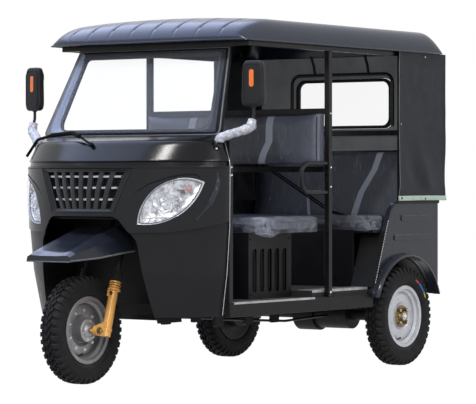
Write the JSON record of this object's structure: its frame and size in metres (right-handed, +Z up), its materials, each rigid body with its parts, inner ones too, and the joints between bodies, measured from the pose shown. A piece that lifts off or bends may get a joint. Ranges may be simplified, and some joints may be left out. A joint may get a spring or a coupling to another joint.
{
  "type": "electric passenger tricycle",
  "caption": "Open-sided electric passenger tricycle with a rounded nose, raked windscreen, moulded roof, driver and rear benches, fork-steered front wheel and driven rear axle.",
  "frame": {"origin": "on the ground, midway between the foremost and rearmost points and on the centre plane", "axes": "+Z up, -Y forward, +X to the vehicle's left"},
  "size_m": [1.5246, 2.67, 1.8238],
  "materials": {
    "chassis_paint": "satin",
    "floor_sheet": "satin",
    "sill_paint": "satin",
    "body_gloss": "gloss",
    "black_plastic": "matte",
    "lamp_lens": "clear",
    "screen_frame": "satin",
    "screen_glass": "clear",
    "tube_paint": "satin",
    "roof_gloss": "gloss",
    "arch_gloss": "gloss",
    "grey_canvas": "woven",
    "window_rim": "matte",
    "tail_lens": "gloss",
    "black_canvas": "woven",
    "seat_box_paint": "satin",
    "battery_case": "matte",
    "seat_cover": "film covered",
    "mirror_plastic": "grained",
    "motor_case": "cast",
    "gold_fork": "satin",
    "tyre_rubber": "matte",
    "rim_silver": "satin"
  },
  "bodies": {
    "body": {"chassis_frame": "chassis_paint", "floor_pan": "floor_sheet", "sills": "sill_paint", "front_bulkhead": "chassis_paint", "steering_head": "chassis_paint", "nose_panel": "body_gloss", "cowl": "body_gloss", "aprons": "body_gloss", "grille": "black_plastic", "headlamps": "lamp_lens", "windscreen_frame": "screen_frame", "windscreen": "screen_glass", "wiper": "black_plastic", "cabin_posts": "tube_paint", "roof_frame": "tube_paint", "roof_shell": "roof_gloss", "rear_panels": "body_gloss", "wheel_arches": "arch_gloss", "rear_canvas": "grey_canvas", "rear_window": "window_rim", "tail_lamps": "tail_lens", "curtains": "black_canvas", "seat_box": "seat_box_paint", "battery_pack": "battery_case", "driver_cushion": "seat_cover", "driver_backrest": "seat_cover", "arm_loops": "tube_paint", "bench_base": "seat_box_paint", "bench_cushion": "seat_cover", "bench_backrest": "seat_cover", "mirror_left": "mirror_plastic", "mirror_right": "mirror_plastic", "rear_axle": "chassis_paint", "drive_motor": "motor_case", "leaf_springs": "chassis_paint"},
    "steering": {"fork_legs": "gold_fork", "fork_crown": "chassis_paint", "handlebar": "black_plastic", "front_fender": "body_gloss"},
    "front_wheel": {"front_tyre": "tyre_rubber", "front_wheel_rim": "rim_silver"},
    "rear_wheel_left": {"rear_tyre_left": "tyre_rubber", "rear_rim_left": "rim_silver"},
    "rear_wheel_right": {"rear_tyre_right": "tyre_rubber", "rear_rim_right": "rim_silver"}
  },
  "joints": [
    {"name": "steering_turn", "type": "hinge", "parent": "body", "child": "steering", "pos_m": [0, -0.995, 0.265], "axis": [0, 0.284, 0.9588], "range_deg": [-35, 35]},
    {"name": "front_wheel_spin", "type": "hinge", "parent": "steering", "child": "front_wheel", "pos_m": [0, -1.07, 0.265], "axis": [1, 0, 0], "continuous": true},
    {"name": "rear_left_spin", "type": "hinge", "parent": "body", "child": "rear_wheel_left", "pos_m": [0.567, 0.93, 0.265], "axis": [1, 0, 0], "continuous": true},
    {"name": "rear_right_spin", "type": "hinge", "parent": "body", "child": "rear_wheel_right", "pos_m": [-0.567, 0.93, 0.265], "axis": [1, 0, 0], "continuous": true}
  ]
}
